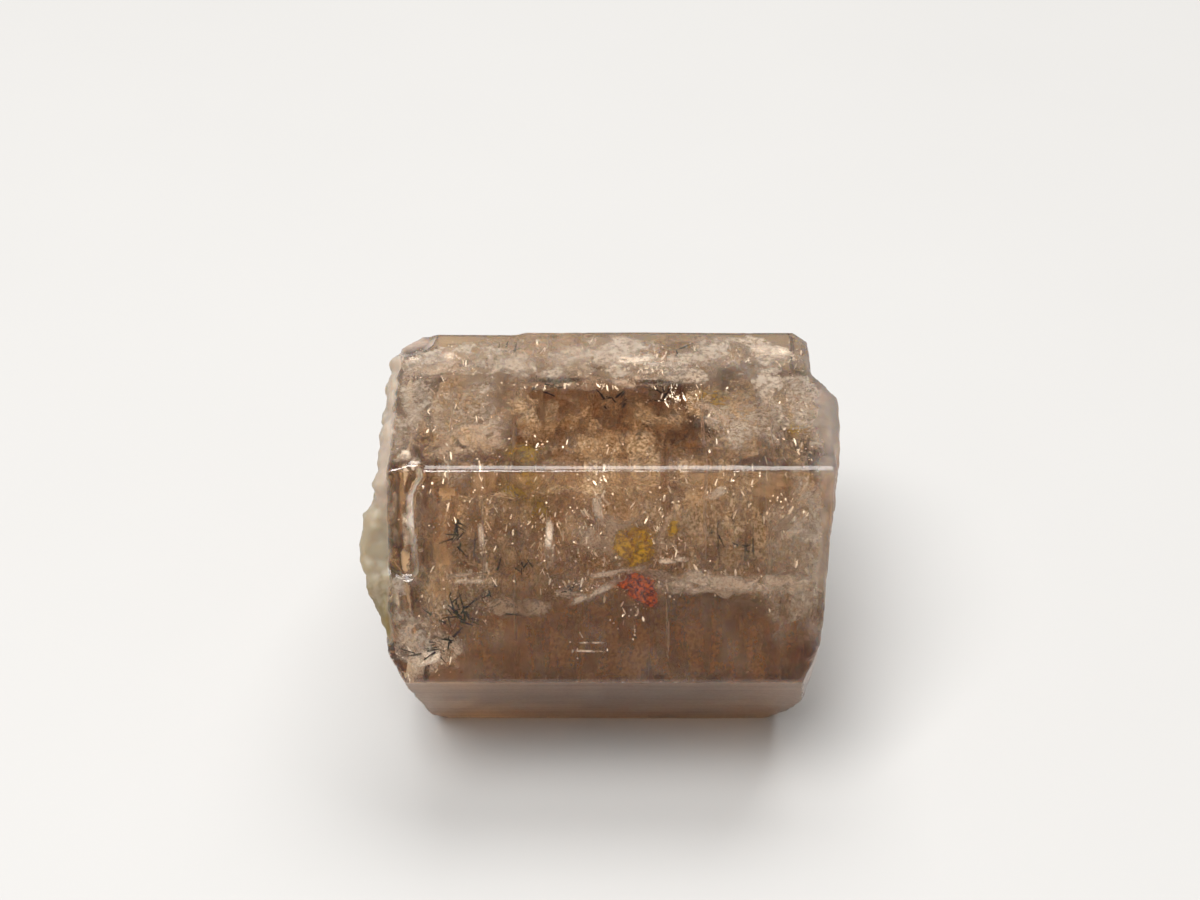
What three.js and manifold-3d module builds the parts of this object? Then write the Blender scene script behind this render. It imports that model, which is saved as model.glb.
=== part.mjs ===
// A pink-brown apatite crystal: a stubby six-sided prism that lies on one of its prism faces.
// One end keeps its gently domed natural termination, with growth steps and etch pits. The other
// end is broken: hackly, chipped, and partly covered by a crust of pale rough grains.
// Millimetres, +Z up. The long axis of the prism runs along X, and the near side, the one that was
// photographed, faces -Y. The crystal is shaped round its own axis, where y and z are zero, and
// set down on its lowest face at the end, with the origin under its middle.
import * as THREE from "three";
import { mergeVertices } from "three/addons/utils/BufferGeometryUtils.js";
import Module from "manifold-3d";

const wasm = await Module();
wasm.setup();

// The prism
const ACROSS_FLATS = 17.5;
const FACE_WIDTH = ACROSS_FLATS / Math.sqrt(3);
const APOTHEM = ACROSS_FLATS / 2;
const EDGE_WEAR = 0.1; // how far wear has cut back each long edge, along both faces
const BIG = 60; // larger than anything here, for the blocks that cut

// The natural end is a low dome of a few flat sides. A lean is how far the surface goes out for
// each mm along y and z.
const NATURAL_END = 10.72; // x at the near upper edge
const DOME_SIDES = [
  { x: NATURAL_END, at: corner(5), lean: { y: 0.07, z: 0.03 } },
  { x: 10.55, at: corner(4), lean: { y: -0.09, z: -0.015 } },
  { x: 9.26, at: corner(1), lean: { y: 0, z: 0.15 } },
  { x: 8.5, at: corner(1), lean: { y: 0.3, z: 0.69 } },
  { x: 9.42, at: corner(0), lean: { y: 0.5, z: 0.18 } },
];
const STEP_SLOPE = 0.6; // radians between the end face and the side wall of a growth step
const FAR_STEP = { x: 10.2, width: 2.86 }; // the ledge along the far upper side
const LOW_STEP = { x: 10.45, width: 1.6 }; // and where it turns down the far lower side

// The broken end
const BROKEN_END = 9.75; // how far out it is at the near upper edge
const BREAK_LEAN = { y: 0.012, z: -0.02 };
const HEEL = { reach: 9.15, lean: { y: 0.39, z: 0.283 } }; // the slanting facet at the near edge
const SCAR_DEPTH = 0.3;
const KNOB_ROWS = 3;
const KNOB_GRAINS_PER_ROW = 6;
const RIM_GRAINS = 11;
const UNDER_TOP = 0.12; // how far below the top face the crust stops

const CRYSTAL_PINK = 0xa98768;

// The six corners of the prism as (y, z), counted from the near edge by way of the near lower one.
function corner(index) {
  const angle = Math.PI + (index * Math.PI) / 3;
  return new THREE.Vector2(Math.cos(angle), Math.sin(angle)).multiplyScalar(FACE_WIDTH);
}
const NEAR = corner(0);
const NEAR_UPPER = corner(5);

// Which way a prism face looks: 90 degrees is straight up, 150 is the near upper face.
function facing(degrees) {
  const angle = THREE.MathUtils.degToRad(degrees);
  return new THREE.Vector3(0, Math.cos(angle), Math.sin(angle));
}

// A closed three.js geometry, as a solid that can be joined and cut.
function solidOf(geometry, matrix = new THREE.Matrix4()) {
  const faces = geometry.index ? geometry.toNonIndexed() : geometry;
  const bare = new THREE.BufferGeometry();
  bare.setAttribute("position", faces.getAttribute("position"));
  const merged = mergeVertices(bare.applyMatrix4(matrix), 1e-4);
  return new wasm.Manifold(
    new wasm.Mesh({
      numProp: 3,
      vertProperties: merged.attributes.position.array,
      triVerts: new Uint32Array(merged.index.array),
    }),
  );
}

function geometryOf(solid) {
  const mesh = solid.getMesh();
  const geometry = new THREE.BufferGeometry();
  geometry.setAttribute("position", new THREE.BufferAttribute(mesh.vertProperties, 3));
  geometry.setIndex(new THREE.BufferAttribute(mesh.triVerts, 1));
  geometry.computeVertexNormals();
  return geometry;
}

// An outline drawn in (y, z), made solid from one x to another.
function slab(outline, fromX, toX) {
  const geometry = new THREE.ExtrudeGeometry(new THREE.Shape(outline), {
    depth: toX - fromX,
    bevelEnabled: false,
  });
  const turn = new THREE.Matrix4().makeBasis(
    new THREE.Vector3(0, 1, 0),
    new THREE.Vector3(0, 0, 1),
    new THREE.Vector3(1, 0, 0),
  );
  return solidOf(geometry, turn.setPosition(fromX, 0, 0));
}

// Everything on the outer side of a plane.
function beyond(point, outward) {
  const direction = outward.clone().normalize();
  const turn = new THREE.Quaternion().setFromUnitVectors(new THREE.Vector3(0, 0, 1), direction);
  const centre = point.clone().addScaledVector(direction, BIG / 2);
  const place = new THREE.Matrix4().compose(centre, turn, new THREE.Vector3(1, 1, 1));
  return solidOf(new THREE.BoxGeometry(BIG, BIG, BIG), place);
}

// Everything past an end surface: side 1 is the natural end, -1 the broken one.
function pastEnd(side, reach, at, lean) {
  const point = new THREE.Vector3(side * reach, at.x, at.y);
  return beyond(point, new THREE.Vector3(side, -lean.y, -lean.z));
}

function ellipsoid(centre, radii, tilt = [0, 0, 0], detail = 24) {
  const place = new THREE.Matrix4().compose(
    new THREE.Vector3(...centre),
    new THREE.Quaternion().setFromEuler(new THREE.Euler(...tilt)),
    new THREE.Vector3(...radii),
  );
  return solidOf(new THREE.SphereGeometry(1, detail, Math.round(detail * 0.6)), place);
}

// The prism, longer than the crystal, with its long edges worn.
function prism() {
  const outline = [];
  for (let i = 0; i < 6; i += 1) {
    for (const neighbour of [corner(i + 5), corner(i + 1)]) {
      const inward = neighbour.sub(corner(i)).setLength(EDGE_WEAR);
      outline.push(corner(i).add(inward));
    }
  }
  return slab(outline, -BROKEN_END - 3, NATURAL_END + 3);
}

// The body up to the natural end, or up to a growth layer lying that much further out.
function upToLayer(body, thickness) {
  let result = body;
  for (const { x, at, lean } of DOME_SIDES) {
    result = result.subtract(pastEnd(1, x + thickness, at, lean));
  }
  return result;
}

// The ledge that a growth step leaves along one side of the natural end.
function rimStep(degrees, { x, width }) {
  const outward = facing(degrees);
  const foot = outward.clone().multiplyScalar(APOTHEM - width).setX(x);
  const wall = outward.clone().multiplyScalar(Math.sin(STEP_SLOPE)).setX(Math.cos(STEP_SLOPE));
  return beyond(new THREE.Vector3(x, 0, 0), new THREE.Vector3(1, 0, 0)).intersect(beyond(foot, wall));
}

// The outline of a growth layer: six-sided, with its sides parallel to the prism's.
function layerOutline([y, z], distances) {
  const sides = distances.map((distance, i) => ({ distance, angle: ((i + 0.5) * Math.PI) / 3 }));
  return sides.map((side, i) => {
    const next = sides[(i + 1) % 6];
    const along = (next.distance - side.distance * 0.5) / Math.sin(Math.PI / 3);
    return new THREE.Vector2(
      y + Math.cos(side.angle) * side.distance - Math.sin(side.angle) * along,
      z + Math.sin(side.angle) * side.distance + Math.cos(side.angle) * along,
    );
  });
}

// A six-sided etch pit on the natural end.
function etchPit(y, z, radius, depth) {
  const surface = DOME_SIDES.map(({ x, at, lean }) => x + lean.y * (y - at.x) + lean.z * (z - at.y));
  const cone = new THREE.ConeGeometry(radius, depth * 2, 6).rotateZ(Math.PI / 2);
  return solidOf(cone, new THREE.Matrix4().makeTranslation(Math.min(...surface), y, z));
}

function withNaturalEnd(body) {
  const layers = [
    { centre: [-0.8, 5.4], distances: [3.6, 3.8, 3.75, 3.2, 2.6, 2.9], thickness: 0.24 },
    { centre: [0.6, -1.2], distances: [3.9, 4.6, 3.4, 4.1, 4.4, 3.6], thickness: 0.1 },
    { centre: [-1.2, 0.3], distances: [2.9, 2.2, 2.6, 3.1, 2.5, 2.7], thickness: 0.18 },
    { centre: [1.1, -2.3], distances: [1.7, 2.0, 1.4, 1.9, 1.8, 1.5], thickness: 0.27 },
    { centre: [-2.0, 1.2], distances: [1.2, 0.9, 1.1, 1.4, 1.0, 1.2], thickness: 0.3 },
    { centre: [-5.0, -2.9], distances: [1.5, 1.9, 1.3, 1.8, 1.6, 1.7], thickness: 0.12 },
  ];
  const pits = [
    [-6.2, 2.6, 0.5, 0.16],
    [-5.3, -0.1, 0.34, 0.12],
    [-2.9, -5.6, 0.62, 0.2],
    [2.7, -5.9, 0.42, 0.14],
    [-7.9, 0.6, 0.3, 0.1],
    [0.4, -6.6, 0.3, 0.1],
  ];
  let end = upToLayer(body, 0);
  for (const { centre, distances, thickness } of layers) {
    const layer = slab(layerOutline(centre, distances), NATURAL_END - 3, NATURAL_END + 3);
    end = end.add(upToLayer(layer.intersect(body), thickness));
  }
  end = end.subtract(rimStep(30, FAR_STEP)).subtract(rimStep(-30, LOW_STEP));
  for (const [y, z, radius, depth] of pits) {
    end = end.subtract(etchPit(y, z, radius, depth));
  }
  // The worn far upper corner, and a nick in the near edge
  end = end.subtract(beyond(new THREE.Vector3(10.2, 4.5, 8.5), new THREE.Vector3(0.6, 0.45, 0.65)));
  return end.subtract(ellipsoid([9.75, -9.75, 0.75], [0.32, 0.5, 0.11], [0.5, 0, 0], 12));
}

// The break: flat basal steps, dished where flakes have come off.
function withBrokenEnd(body) {
  const steps = [
    { reach: 9.35, outline: [[0.8, -9], [1.5, -3.4], [3.1, -1.9], [2.8, 0.4], [5.1, 2.3], [11, 3.4]] },
    { reach: 9.0, outline: [[-3.6, -9], [-2.9, -5.6], [-0.4, -4.9], [2.3, -5.8], [4.9, -3.3], [11, -9]] },
    { reach: 9.5, outline: [[-2.4, 4.2], [0.9, 5.0], [1.6, 3.1], [-0.6, 1.7], [-2.9, 2.2]] },
  ];
  const scoops = [
    { at: [-12.6, -4.6, -1.2], radii: [3.5, 5.2, 4.4], tilt: [0.5, 0, 0.06] },
    { at: [-12.9, 4.2, 5.6], radii: [3.6, 5.4, 3.6], tilt: [-0.5, 0.1, 0] },
    { at: [-12.0, 7.6, -2.4], radii: [3.6, 4.4, 5.4], tilt: [0.3, 0, -0.1] },
    { at: [-11.9, 0.6, -7.4], radii: [3.5, 4.8, 2.9], tilt: [0.1, 0, 0] },
    { at: [-11.1, 1.9, 0.6], radii: [1.7, 2.9, 1.9], tilt: [0.6, 0.2, 0] },
  ];
  let end = body.subtract(pastEnd(-1, BROKEN_END, NEAR_UPPER, BREAK_LEAN));
  for (const { reach, outline } of steps) {
    const points = outline.map(([y, z]) => new THREE.Vector2(y, z));
    end = end.subtract(slab(points, -BROKEN_END - 3, -reach));
  }
  for (const { at, radii, tilt } of scoops) {
    end = end.subtract(ellipsoid(at, radii, tilt, 28));
  }
  end = end.subtract(pastEnd(-1, HEEL.reach, NEAR, HEEL.lean));
  // The near lower corner, and the bruised far upper one
  end = end.subtract(pastEnd(-1, 7.9, corner(1), { y: 0.3, z: 0.9 }));
  end = end.subtract(beyond(new THREE.Vector3(-9.3, 4.4, 8.55), new THREE.Vector3(-0.5, 0.5, 0.65)));
  return end.subtract(ellipsoid([-10.2, 4.6, 10.4], [2.9, 2.5, 2.1], [0, 0.3, 0.2], 32));
}

// The flake lost at the near upper edge of the broken end: a shallow tongue-shaped scar down the
// near upper face, and a dish where the scar comes over the edge.
function flakeScar() {
  const outline = new THREE.Shape();
  outline.moveTo(-0.6, 0.7);
  outline.lineTo(1.62, 0.7);
  outline.lineTo(1.62, -0.4);
  outline.quadraticCurveTo(1.12, -0.9, 1.15, -1.7);
  outline.lineTo(1.36, -4.6);
  outline.quadraticCurveTo(1.4, -5.1, 0.95, -5.12);
  outline.quadraticCurveTo(0.3, -5.1, -0.1, -4.45);
  outline.lineTo(-0.6, -4.2);
  const geometry = new THREE.ExtrudeGeometry(outline, {
    depth: 2,
    bevelThickness: SCAR_DEPTH * 0.5,
    bevelSize: SCAR_DEPTH * 0.4,
    bevelOffset: -SCAR_DEPTH * 0.4,
    bevelSegments: 2,
    curveSegments: 6,
  });
  const along = new THREE.Vector3(1, 0, 0);
  const out = facing(150);
  const turn = new THREE.Matrix4().makeBasis(along, out.clone().cross(along), out);
  const edge = new THREE.Vector3(-BROKEN_END, NEAR_UPPER.x, NEAR_UPPER.y);
  const tongue = solidOf(geometry, turn.setPosition(edge.addScaledVector(out, -SCAR_DEPTH / 2)));
  return tongue.add(ellipsoid([-9.75, -4.9, 9.75], [1.75, 2.3, 1.25]));
}

// A repeatable stream of numbers from 0 to 1.
function stream(seed) {
  let state = seed;
  return () => {
    state = (state * 1664525 + 1013904223) % 4294967296;
    return state / 4294967296;
  };
}

// One rough grain: a low ball whose corners are pushed in and out.
function grain(centre, radii, detail, next) {
  const bare = new THREE.BufferGeometry();
  bare.setAttribute("position", new THREE.IcosahedronGeometry(1, detail).getAttribute("position"));
  const ball = mergeVertices(bare.rotateX(next() * 3).rotateY(next() * 3), 1e-4);
  const place = ball.getAttribute("position");
  for (let i = 0; i < place.count; i += 1) {
    const swell = 0.84 + 0.3 * next();
    place.setXYZ(i, place.getX(i) * swell, place.getY(i) * swell, place.getZ(i) * swell);
  }
  ball.scale(...radii).translate(...centre);
  return solidOf(ball);
}

// The crust on the broken end: a thick knob along the near upper face, thinning inward, and a low
// rim of grains under the top face.
function crustGrains() {
  const next = stream(41);
  const grains = [];
  for (let row = 0; row < KNOB_ROWS; row += 1) {
    for (let i = 0; i < KNOB_GRAINS_PER_ROW; i += 1) {
      const down = 1.95 + i * 0.95 + (next() - 0.5) * 0.4;
      const inward = 0.95 + row * 1.35 + (next() - 0.5) * 0.4;
      const swell = Math.sin(Math.PI * ((down - 1.5) / 6) ** 0.75) * (1 - row * 0.25);
      const y = NEAR_UPPER.x - down * 0.5 + inward * 0.866;
      const z = NEAR_UPPER.y - down * 0.866 - inward * 0.5;
      const width = 0.75 + 0.5 * swell;
      const radii = [0.35 + 1.0 * swell, width + next() * 0.2, width + next() * 0.2];
      grains.push(grain([-BROKEN_END - 0.02, y, z], radii, row === 0 ? 2 : 1, next));
    }
  }
  for (let i = 0; i < RIM_GRAINS; i += 1) {
    const y = NEAR_UPPER.x + 0.4 + i * 0.78 + (next() - 0.5) * 0.2;
    const z = NEAR_UPPER.y - 0.6 - next() * 0.5;
    const radii = [0.4 + next() * 0.22, 0.5 + next() * 0.25, 0.45 + next() * 0.3];
    grains.push(grain([-BROKEN_END - 0.02, y, z], radii, 1, next));
  }
  return grains;
}

// Long low ledges on the far faces, where one growth layer ends before the next. An outline is
// drawn with x along the crystal and y up the face, from the middle of the face.
function withFarLedges(body) {
  const ledges = [
    { face: 30, depth: 0.14, outline: [[-12, -6], [-5, -6], [-3, -4.4], [-2, -2], [-3, -1], [-12, -1]] },
    { face: -30, depth: 0.18, outline: [[12, 6], [4.7, 6], [2.9, 4.4], [2.2, 2.1], [3.6, 1], [12, 1]] },
    { face: -30, depth: 0.12, outline: [[-12, -6], [-6.4, -6], [-5, -3.2], [-5.7, -2], [-12, -2]] },
  ];
  let result = body;
  for (const { face, depth, outline } of ledges) {
    const out = facing(face);
    const along = new THREE.Vector3(1, 0, 0);
    const turn = new THREE.Matrix4().makeBasis(along, out.clone().cross(along), out);
    const shape = new THREE.Shape(outline.map(([x, up]) => new THREE.Vector2(x, up)));
    const block = new THREE.ExtrudeGeometry(shape, { depth: 2, bevelEnabled: false });
    turn.setPosition(out.multiplyScalar(APOTHEM - depth));
    result = result.subtract(solidOf(block, turn));
  }
  return result;
}

// The crust stays a little behind the near upper face and under the top one.
function crystalGeometry() {
  const bare = withBrokenEnd(withNaturalEnd(prism())).subtract(flakeScar());
  const behindFace = facing(150).multiplyScalar(APOTHEM - SCAR_DEPTH);
  const underTop = facing(90).multiplyScalar(APOTHEM - UNDER_TOP);
  const room = prism()
    .subtract(beyond(behindFace, facing(150)))
    .subtract(beyond(underTop, facing(90)));
  let body = withFarLedges(bare);
  for (const piece of crustGrains()) {
    body = body.add(piece.intersect(room));
  }
  return geometryOf(body);
}

const crystal = new THREE.Mesh(
  crystalGeometry(),
  new THREE.MeshStandardMaterial({ color: CRYSTAL_PINK, roughness: 0.18, metalness: 0 }),
);
crystal.name = "crystal";
crystal.geometry.computeBoundingBox();
const { min, max } = crystal.geometry.boundingBox;
crystal.position.set(-(min.x + max.x) / 2, -(min.y + max.y) / 2, -min.z);

const specimen = new THREE.Group();
specimen.add(crystal);
export default specimen;
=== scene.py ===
import math
import random

import bmesh
import bpy
import numpy as np
from mathutils import Matrix, Vector, noise
from mathutils.bvhtree import BVHTree


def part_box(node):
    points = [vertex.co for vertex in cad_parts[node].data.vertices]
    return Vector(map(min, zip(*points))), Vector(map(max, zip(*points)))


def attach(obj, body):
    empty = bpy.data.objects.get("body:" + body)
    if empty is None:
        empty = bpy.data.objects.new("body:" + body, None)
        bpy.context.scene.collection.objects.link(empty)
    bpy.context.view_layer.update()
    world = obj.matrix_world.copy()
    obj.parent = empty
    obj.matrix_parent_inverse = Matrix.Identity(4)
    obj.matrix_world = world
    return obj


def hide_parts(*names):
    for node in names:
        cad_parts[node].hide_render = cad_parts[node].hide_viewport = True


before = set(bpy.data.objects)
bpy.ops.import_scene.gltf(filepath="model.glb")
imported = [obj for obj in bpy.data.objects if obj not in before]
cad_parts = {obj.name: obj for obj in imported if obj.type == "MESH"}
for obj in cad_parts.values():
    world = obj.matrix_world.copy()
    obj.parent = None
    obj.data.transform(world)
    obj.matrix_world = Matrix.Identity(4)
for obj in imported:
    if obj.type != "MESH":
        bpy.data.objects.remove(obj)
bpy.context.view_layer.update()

# The camera looks down on the near side of the crystal from 42 degrees above the horizon, square
# to its long axis, and close enough for the crystal to fill about half of the picture's width.
CAMERA_PLACE = (-0.00007, -0.06279, 0.0707)
CAMERA_LOOKS_DOWN = math.radians(42)
LENS_MM = 52.3
camera_lens = bpy.data.cameras.new("camera")
camera_lens.lens = LENS_MM
camera_lens.clip_start = 0.002
camera = bpy.data.objects.new("camera", camera_lens)
camera.location = CAMERA_PLACE
camera.rotation_euler = (math.pi / 2 - CAMERA_LOOKS_DOWN, 0, 0)
bpy.context.scene.collection.objects.link(camera)
bpy.context.scene.camera = camera

# The crystal: one piece of apatite, pinkish brown and hazy, a six-sided prism with glassy sides.
# It grew as a single piece. Its natural end is stepped and etched, its other end broke off the
# rock, and pale grains grew over part of that break.
MM = 0.001
TRIANGLE_SIZE = 0.15
crystal_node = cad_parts["crystal"]
node_low, node_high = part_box("crystal")
APOTHEM = (node_high.z - node_low.z) / MM / 2
FACE_WIDTH = 2 * APOTHEM / math.sqrt(3)


def mesh_in_millimetres(node):
    work = bmesh.new()
    work.from_mesh(node.data)
    bmesh.ops.remove_doubles(work, verts=work.verts, dist=1e-7)
    bmesh.ops.scale(work, vec=(1 / MM,) * 3, verts=work.verts)
    mesh = bpy.data.meshes.new("crystal_work")
    work.to_mesh(mesh)
    work.free()
    return mesh


def evenly_divided(mesh, size):
    holder = bpy.data.objects.new("crystal_work", mesh)
    bpy.context.scene.collection.objects.link(holder)
    remesh = holder.modifiers.new("even", "REMESH")
    remesh.mode = "VOXEL"
    remesh.voxel_size = size
    depsgraph = bpy.context.evaluated_depsgraph_get()
    result = bpy.data.meshes.new_from_object(holder.evaluated_get(depsgraph))
    bpy.data.objects.remove(holder)
    return result


def smooth_step(low, high, value):
    t = np.clip((value - low) / (high - low), 0, 1)
    return t * t * (3 - 2 * t)


def grain_noise(points, octaves=3):
    return np.array([noise.fractal(p, 1.0, 2.0, octaves) for p in points.tolist()])


def cell_bumps(points):
    return np.array([noise.voronoi(p)[0][0] for p in points.tolist()])


def prism_distances(points):
    """How far each point is from the axis across each pair of prism faces, largest first."""
    across = []
    for degrees in (30, 90, 150):
        angle = math.radians(degrees)
        across.append(np.abs(points[:, 1] * math.cos(angle) + points[:, 2] * math.sin(angle)))
    return -np.sort(-np.array(across), axis=0)


def crust_share(points, loose):
    """Where the pale crust lies: 1 on it, 0 off it, for points round the crystal's axis."""
    x, y, z = points.T
    behind_near_upper = APOTHEM - (z / 2 - y * math.sqrt(3) / 2)
    down_near_upper = FACE_WIDTH / 2 - (z * math.sqrt(3) / 2 + y / 2)
    knob = smooth_step(5.6, 4.2, behind_near_upper + loose) * smooth_step(8.6, 7.6, down_near_upper + loose)
    knob *= smooth_step(0.9, 1.5, down_near_upper + loose)
    rim = smooth_step(1.9, 1.2, APOTHEM - z + loose * 0.6) * smooth_step(4.2, 3.4, y + loose)
    return np.maximum(knob, rim) * smooth_step(-9.62, -9.8, x + loose * 0.15)


def soften_crust(mesh, rounds=14):
    """Rounds off the crust's grains, and leaves the prism faces and their edges sharp."""
    place = np.empty(len(mesh.vertices) * 3)
    mesh.vertices.foreach_get("co", place)
    centred = place.reshape(-1, 3) - [0, 0, APOTHEM]
    share = crust_share(centred, grain_noise(centred * 1.3 + 23) * 0.8)
    work = bmesh.new()
    work.from_mesh(mesh)
    work.verts.ensure_lookup_table()
    soft = [work.verts[i] for i in np.flatnonzero(share > 0.4)]
    for _ in range(rounds):
        bmesh.ops.smooth_vert(work, verts=soft, factor=0.5, use_axis_x=True, use_axis_y=True, use_axis_z=True)
    work.to_mesh(mesh)
    work.free()


def carve_surface(mesh):
    """Gives the evenly divided crystal its fine relief, and marks its crust and its broken end."""
    count = len(mesh.vertices)
    place = np.empty(count * 3)
    normal = np.empty(count * 3)
    mesh.vertices.foreach_get("co", place)
    mesh.vertices.foreach_get("normal", normal)
    place, normal = place.reshape(-1, 3), normal.reshape(-1, 3)
    centred = place - [0, 0, APOTHEM]
    across = prism_distances(centred)
    on_side = smooth_step(APOTHEM - 0.4, APOTHEM - 0.25, across[0])
    on_side *= smooth_step(0.7, 0.4, np.abs(normal[:, 0]))
    on_edge = smooth_step(APOTHEM - 0.55, APOTHEM - 0.1, across[1]) * on_side
    broad = grain_noise(centred * [0.12, 0.3, 0.3])
    streaks = grain_noise(centred * [0.08, 1.6, 1.6] + 7)
    fine = grain_noise(centred * 1.1 + 3, 5)
    hackle = grain_noise(centred * [1.5, 0.9, 0.9] + 11, 5)
    natural = smooth_step(0.3, 0.7, normal[:, 0])
    broken = smooth_step(-0.25, -0.6, normal[:, 0])
    crust = crust_share(centred, grain_noise(centred * 1.3 + 23) * 0.8)

    relief = on_side * (0.03 * (broad - 0.4) + 0.012 * streaks - 0.008)
    relief -= on_edge * 0.035 * np.clip(grain_noise(centred * [1.4, 0.4, 0.4] + 31) - 0.1, 0, 1)
    relief += natural * (0.05 * fine - 0.03)
    relief += broken * (1 - crust) * (0.12 * np.abs(hackle) + 0.03 * fine - 0.1)
    lumps = 0.34 * (0.5 - cell_bumps(centred * 0.85 + 5)) + 0.13 * (0.45 - cell_bumps(centred * 2.3 + 9))
    relief += crust * (lumps + 0.06 * fine + 0.05)
    mesh.vertices.foreach_set("co", (place + normal * relief[:, None]).ravel())

    for name, share in (("crust", crust), ("broken", broken * (1 - crust)), ("natural", natural)):
        mesh.attributes.new(name, "FLOAT", "POINT").data.foreach_set("value", share)
    mesh.update()


def node(tree, kind, inputs=None, **settings):
    """Adds a node. Each input is set to a value, or joined to the output that is given."""
    made = tree.nodes.new(kind)
    for name, value in settings.items():
        setattr(made, name, value)
    for name, value in (inputs or {}).items():
        socket = made.inputs[name]
        if isinstance(value, bpy.types.NodeSocket):
            tree.links.new(value, socket)
        else:
            socket.default_value = value
    return made


def maths(tree, operation, *values, clamp=False):
    made = node(tree, "ShaderNodeMath", dict(enumerate(values)), operation=operation, use_clamp=clamp)
    return made.outputs[0]


def ramp(tree, value, low, high, start=0.0, end=1.0):
    """value mapped smoothly from low..high to start..end."""
    made = node(
        tree,
        "ShaderNodeMapRange",
        {"Value": value, "From Min": low, "From Max": high, "To Min": start, "To Max": end},
        interpolation_type="SMOOTHSTEP",
    )
    return made.outputs["Result"]


def blend_colour(tree, share, first, second):
    made = node(tree, "ShaderNodeMix", {"Factor": share}, data_type="RGBA")
    for socket, colour in ((made.inputs[6], first), (made.inputs[7], second)):
        if isinstance(colour, bpy.types.NodeSocket):
            tree.links.new(colour, socket)
        else:
            socket.default_value = (*colour, 1)
    return made.outputs[2]


def noise_at(tree, place, scale, detail=4.0, roughness=0.55, distortion=0.0):
    made = node(
        tree,
        "ShaderNodeTexNoise",
        {
            "Vector": place,
            "Scale": scale,
            "Detail": detail,
            "Roughness": roughness,
            "Distortion": distortion,
        },
    )
    return made.outputs["Fac"]


def new_material(name):
    """An empty material, with its tree and its places in millimetres from the origin.

    Only what hangs inside the clear crystal is see-through by its alpha. The crystal's surface
    stops every shadow ray before that, so no material needs see-through shadows.
    """
    material = bpy.data.materials.new(name)
    material.use_nodes = True
    material.use_transparent_shadow = False
    tree = material.node_tree
    tree.nodes.clear()
    origin = node(tree, "ShaderNodeTexCoord").outputs["Object"]
    place = node(tree, "ShaderNodeMapping", {"Vector": origin, "Scale": (1 / MM,) * 3}).outputs[0]
    return material, tree, place


def stretched(tree, place, scale):
    return node(tree, "ShaderNodeMapping", {"Vector": place, "Scale": scale}).outputs[0]


CLEAR_TINT = (0.97, 0.87, 0.76)
MILKY_WHITE = (0.8, 0.68, 0.6)
MILKY_PINK = (0.62, 0.44, 0.34)
MILKY_TAN = (0.5, 0.32, 0.17)
FROSTED = (0.85, 0.77, 0.7)
CRUST_WHITE = (0.56, 0.47, 0.38)
CRUST_CREAM = (0.5, 0.42, 0.29)
CRUST_OLIVE = (0.26, 0.19, 0.06)
BODY_BROWN = (0.76, 0.5, 0.14)
BROWN_DENSITY = 115
WINDOW_CENTRE = (0.3, -1.6)
WINDOW_REACH = (4.6, 2.9)
APATITE_IOR = 1.634


def split(tree, place):
    return node(tree, "ShaderNodeSeparateXYZ", {"Vector": place}).outputs


def attribute_share(tree, name):
    return node(tree, "ShaderNodeAttribute", attribute_name=name).outputs["Fac"]


def product(tree, first, *others):
    for other in others:
        first = maths(tree, "MULTIPLY", first, other)
    return first


def greatest(tree, first, *others):
    for other in others:
        first = maths(tree, "MAXIMUM", first, other)
    return first


def weighted(tree, start, *terms):
    """start plus each (value, weight) pair's product."""
    for value, weight in terms:
        start = maths(tree, "MULTIPLY_ADD", value, weight, start)
    return start


def surface_haze(tree, place, curdle):
    """How hazy the surface is, and its milky shares along the far upper edge and at both ends."""
    x, y, z = split(tree, place)
    far_edge = ramp(tree, weighted(tree, y, (curdle, 3.0)), 2.6, 4.6)
    far_edge = product(tree, far_edge, ramp(tree, z, 12.5, 15.5))
    ends = ramp(tree, weighted(tree, maths(tree, "ABSOLUTE", x), (curdle, 1.6)), 10.2, 11.5)
    ends = product(tree, ends, ramp(tree, weighted(tree, z, (curdle, 6.0)), 8.5, 16.5))
    corner = ramp(tree, weighted(tree, y, (x, -1.0), (curdle, 3.0)), 14.2, 15.8)
    corner = product(tree, corner, ramp(tree, weighted(tree, z, (curdle, 3.0)), 14.0, 16.0))
    ends = greatest(tree, ends, corner)
    aside = weighted(tree, -WINDOW_CENTRE[0] / WINDOW_REACH[0], (x, 1 / WINDOW_REACH[0]))
    behind = weighted(tree, -WINDOW_CENTRE[1] / WINDOW_REACH[1], (y, 1 / WINDOW_REACH[1]))
    from_window = maths(tree, "ADD", maths(tree, "POWER", aside, 4), maths(tree, "POWER", behind, 2))
    window = ramp(tree, weighted(tree, from_window, (curdle, 1.2)), 1.9, 1.1)
    window = product(tree, window, ramp(tree, z, 15.8, 16.8))
    curdled = ramp(tree, curdle, 0.42, 0.7)
    haze = weighted(tree, 0.02, (curdled, 0.035), (far_edge, 0.05), (window, -0.03))
    haze = weighted(tree, greatest(tree, haze, 0.0), (ends, 0.2), (corner, 0.25))
    return haze, far_edge, ends


def edge_wear(tree, place):
    """Where the long edges are worn: two pairs of prism faces are there about equally far out."""
    _, y, z = split(tree, place)
    lifted = maths(tree, "SUBTRACT", z, APOTHEM)
    first, second, third = [
        maths(tree, "ABSOLUTE", weighted(tree, 0.0, (y, math.cos(angle)), (lifted, math.sin(angle))))
        for angle in (math.radians(30), math.radians(90), math.radians(150))
    ]
    lower = maths(tree, "MINIMUM", first, second)
    upper = maths(tree, "MINIMUM", greatest(tree, first, second), third)
    next_out = greatest(tree, lower, upper)
    ragged = noise_at(tree, stretched(tree, place, (0.7, 1, 1)), 2.2, 4, 0.75)
    return ramp(tree, weighted(tree, next_out, (ragged, 0.3)), APOTHEM + 0.05, APOTHEM + 0.2)


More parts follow.
